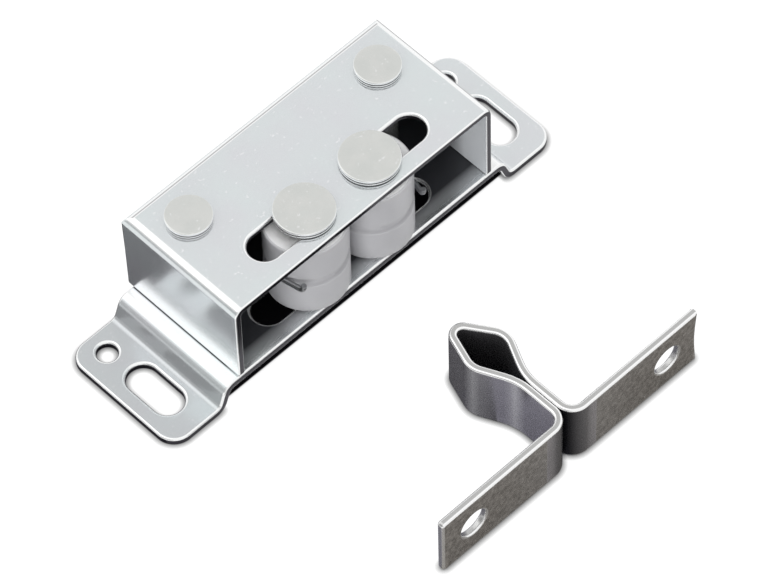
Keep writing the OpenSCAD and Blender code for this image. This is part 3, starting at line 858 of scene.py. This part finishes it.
# Nickel rubbed smooth by the folding tool: a cooler, even satin on the nose and the neck.
rubbed = plated_steel(
    "rubbed_nickel_plate", "#d4d2d8", "#dcdae0", metallic=0.9, rough=0.22, drift_mm=4, grain_mm=0.3,
    grain_depth_mm=0.0004, speck=0.05, marks=[STRIKE_SHEEN_AND_SHADE, STRIKE_EDGE_SHEEN])
tone = np.where(on_left, painted_strike_light(-flat[:, 0], flat[:, 2], left_steps),
                painted_strike_light(flat[:, 0], flat[:, 2], right_steps))
strike = piece("spear_strike", np.column_stack((
    tip_x + across[:, 0], strike_high[1] - mid + across[:, 1], strike_low[2] + flat[:, 1])),
    faces, worn, "strike_steel", "strike", "case", wear=wear, tone=tone)
strike.data.materials.append(rubbed)
centres = np.empty(3 * len(strike.data.polygons))
strike.data.polygons.foreach_get("center", centres)
on_arm = np.abs(centres[0::3]) / MM > neck_x + arm_mid + ARM_FINISH
on_arm &= centres[1::3] / MM < strike_low[1] + 2 * STRIKE_T
strike.data.polygons.foreach_set("material_index", np.where(on_arm, 0, 1).astype(np.int32))

# Floor
# A wide white table that carries the shadow. Six dark cards that only reflections see lie by the left ear
# and the strike as painted dark reflections in the metal, and two lie under the case as a painted shadow:
# black in front and grey behind.
FLOOR_HALF = 6.0
SHADOW_MM = 0.9
CARD_UP = 0.05
CARDS = {
    "card_under_ear": ((-40, 4.6), (-22, 22), "#3b3a40"),
    "card_under_slot": ((-40, -16), (-22, 4.6), "#6a696f"),
    "card_before_arms": ((-35, -80), (40, -56), "#85827e"),
    "card_beside_neck": ((-35, -56), (40, -45), "#807f88"),
    "card_beside_taper": ((-35, -45), (40, -37.5), "#3a393f"),
    "card_beside_nose": ((-35, -37.5), (10, -24), "#3d3c40"),
}
STEP_ROOM = 4
UNDER_IN = 1.35
GLOW_SEEN = 0.95
GLOW_SHINE = 0.75


def stage_sheet(name, low, high, height, material):
    """A level rectangle between two corners, in metres, that isn't part of the object."""
    mesh = bpy.data.meshes.new(name)
    corners = [(low[0], low[1]), (high[0], low[1]), (high[0], high[1]), (low[0], high[1])]
    mesh.from_pydata([(*corner, height) for corner in corners], [], [(0, 1, 2, 3)])
    mesh.materials.append(material)
    made = bpy.data.objects.new(name, mesh)
    bpy.context.collection.objects.link(made)
    return made


white, tree = blank_material("white_table")
ray = put(tree, "ShaderNodeLightPath", {})
seen = put(tree, "ShaderNodeMath", {0: ray.outputs["Is Camera Ray"], 1: ray.outputs["Is Glossy Ray"]},
           operation="MAXIMUM")
seen = put(tree, "ShaderNodeMath", {0: seen.outputs["Value"], 1: ray.outputs["Is Transmission Ray"]},
           operation="MAXIMUM")
close = put(tree, "ShaderNodeAmbientOcclusion", {"Distance": SHADOW_MM * MM})
close = put(tree, "ShaderNodeMath", {0: close.outputs["AO"], 1: 2.0}, operation="POWER")
shine = put(tree, "ShaderNodeMapRange", {
    "Value": ray.outputs["Is Glossy Ray"], "To Min": GLOW_SEEN, "To Max": GLOW_SHINE})
glow = put(tree, "ShaderNodeMath", {0: seen.outputs["Value"], 1: close.outputs["Value"]},
           operation="MULTIPLY")
glow = put(tree, "ShaderNodeMath", {0: glow.outputs["Value"], 1: shine.outputs["Result"]},
           operation="MULTIPLY")
glow = put(tree, "ShaderNodeEmission", {"Color": linear("#ffffff"), "Strength": glow.outputs["Value"]})
paint = put(tree, "ShaderNodeMix", {0: seen.outputs["Value"], 6: linear("#b8b8b8"), 7: linear("#707070")},
            data_type="RGBA")
matt = put(tree, "ShaderNodeBsdfDiffuse", {"Color": paint.outputs[2]})
both = put(tree, "ShaderNodeAddShader", {0: matt.outputs["BSDF"], 1: glow.outputs["Emission"]})
put(tree, "ShaderNodeOutputMaterial", {"Surface": both.outputs["Shader"]})
stage_sheet("table", (-FLOOR_HALF, -FLOOR_HALF), (FLOOR_HALF, FLOOR_HALF), 0, white)


def card(name, low, high, height, code):
    """A matt card of one colour, between two corners in millimetres."""
    material, tree = blank_material(name)
    matt = put(tree, "ShaderNodeBsdfDiffuse", {"Color": linear(code)})
    put(tree, "ShaderNodeOutputMaterial", {"Surface": matt.outputs["BSDF"]})
    return stage_sheet(name, np.array(low) * MM, np.array(high) * MM, height * MM, material)


# Cards that only glossy rays see: painted dark reflections in the metal.
for name, (low, high, code) in CARDS.items():
    made = card(name, low, high, CARD_UP, code)
    made.visible_camera = False
    made.visible_diffuse = False
    made.visible_shadow = False
under_half = case_half + STEP_ROOM
# Painted shadow under the raised middle of the base plate: a black card in front and a grey one behind.
card("painted_shadow_under_front", (-under_half, front_y + UNDER_IN), (under_half, 0), 2 * CARD_UP, "#141316")
card("painted_shadow_under_back", (-under_half, 0), (under_half, back_y - UNDER_IN), 2 * CARD_UP, "#535257")

# Light
# A soft white tent that leans over from behind, with a bright window up behind on the left and a dim far
# left. A broad key lamp stands behind on the left, and a low fill lamp in front on the left.
TENT_LEAN = (0.15, 0.5, 0.85)
TENT = [(0.0, 0.88), (0.18, 0.92), (0.38, 1.0), (0.6, 1.0), (0.85, 0.9), (1.0, 0.82)]
WINDOW_WAY = (-0.386, 0.414, 0.824)
WINDOW_GLOW = 1.6
FAR_LEFT_GLOW = 0.45
LAMPS = {
    "key_lamp": ((-0.5, 0.32, 0.46), 0.5, 1.0),
    "fill_lamp": ((-0.5, -0.3, 0.12), 0.3, 1.3),
}

world = bpy.data.worlds.new("light_tent")
bpy.context.scene.world = world
world.use_nodes = True
tree = world.node_tree
tree.nodes.clear()
way = put(tree, "ShaderNodeTexCoord", {})
level = put(tree, "ShaderNodeVectorMath", {0: way.outputs["Generated"], 1: TENT_LEAN},
            operation="DOT_PRODUCT")
tent = ramp(tree, level.outputs["Value"], [(place, (tone, tone, tone, 1)) for place, tone in TENT])
left = put(tree, "ShaderNodeSeparateXYZ", {"Vector": way.outputs["Generated"]})
left = put(tree, "ShaderNodeMapRange", {"Value": left.outputs["X"], "From Min": -0.85, "From Max": -0.6,
                                        "To Min": FAR_LEFT_GLOW, "To Max": 1.0})
window = put(tree, "ShaderNodeVectorMath", {0: way.outputs["Generated"], 1: WINDOW_WAY},
             operation="DOT_PRODUCT")
window = put(tree, "ShaderNodeMapRange", {
    "Value": window.outputs["Value"], "From Min": 0.84, "From Max": 0.97,
    "To Min": 1.0, "To Max": WINDOW_GLOW})
window = put(tree, "ShaderNodeMath", {0: window.outputs["Result"], 1: left.outputs["Result"]},
             operation="MULTIPLY")
sky = put(tree, "ShaderNodeBackground", {
    "Color": tent.outputs["Color"], "Strength": window.outputs["Value"]})
put(tree, "ShaderNodeOutputWorld", {"Surface": sky.outputs["Background"]})

for name, (place, size, energy) in LAMPS.items():
    light = bpy.data.lights.new(name, "AREA")
    light.shape = "DISK"
    light.size = size
    light.energy = energy
    lamp = bpy.data.objects.new(name, light)
    bpy.context.collection.objects.link(lamp)
    lamp.visible_glossy = False
    lamp.location = place
    lamp.rotation_euler = (-Vector(place)).to_track_quat("-Z", "Y").to_euler()

# Camera
# A long lens from the left of the open front, well above the case, and turned a little about its axis.
AZIMUTH, ELEVATION, ROLL = -43.02, 55.53, -1.71
AIM = Vector((0.0023, -0.0196, 0))
DISTANCE = 0.8201
SENSOR = 36
FRAME_W = 780
FOCAL_PX = 6000

lens = bpy.data.cameras.new("camera")
lens.sensor_width = SENSOR
lens.lens = FOCAL_PX / FRAME_W * SENSOR
camera = bpy.data.objects.new("camera", lens)
bpy.context.collection.objects.link(camera)
turn, lift, roll = np.radians((AZIMUTH, ELEVATION, ROLL))
camera.matrix_world = (
    Matrix.Translation(AIM) @ Matrix.Rotation(turn, 4, "Z") @ Matrix.Rotation(np.pi / 2 - lift, 4, "X")
    @ Matrix.Translation((0, 0, DISTANCE)) @ Matrix.Rotation(roll, 4, "Z"))
bpy.context.scene.camera = camera
bpy.context.scene.view_settings.view_transform = "Standard"
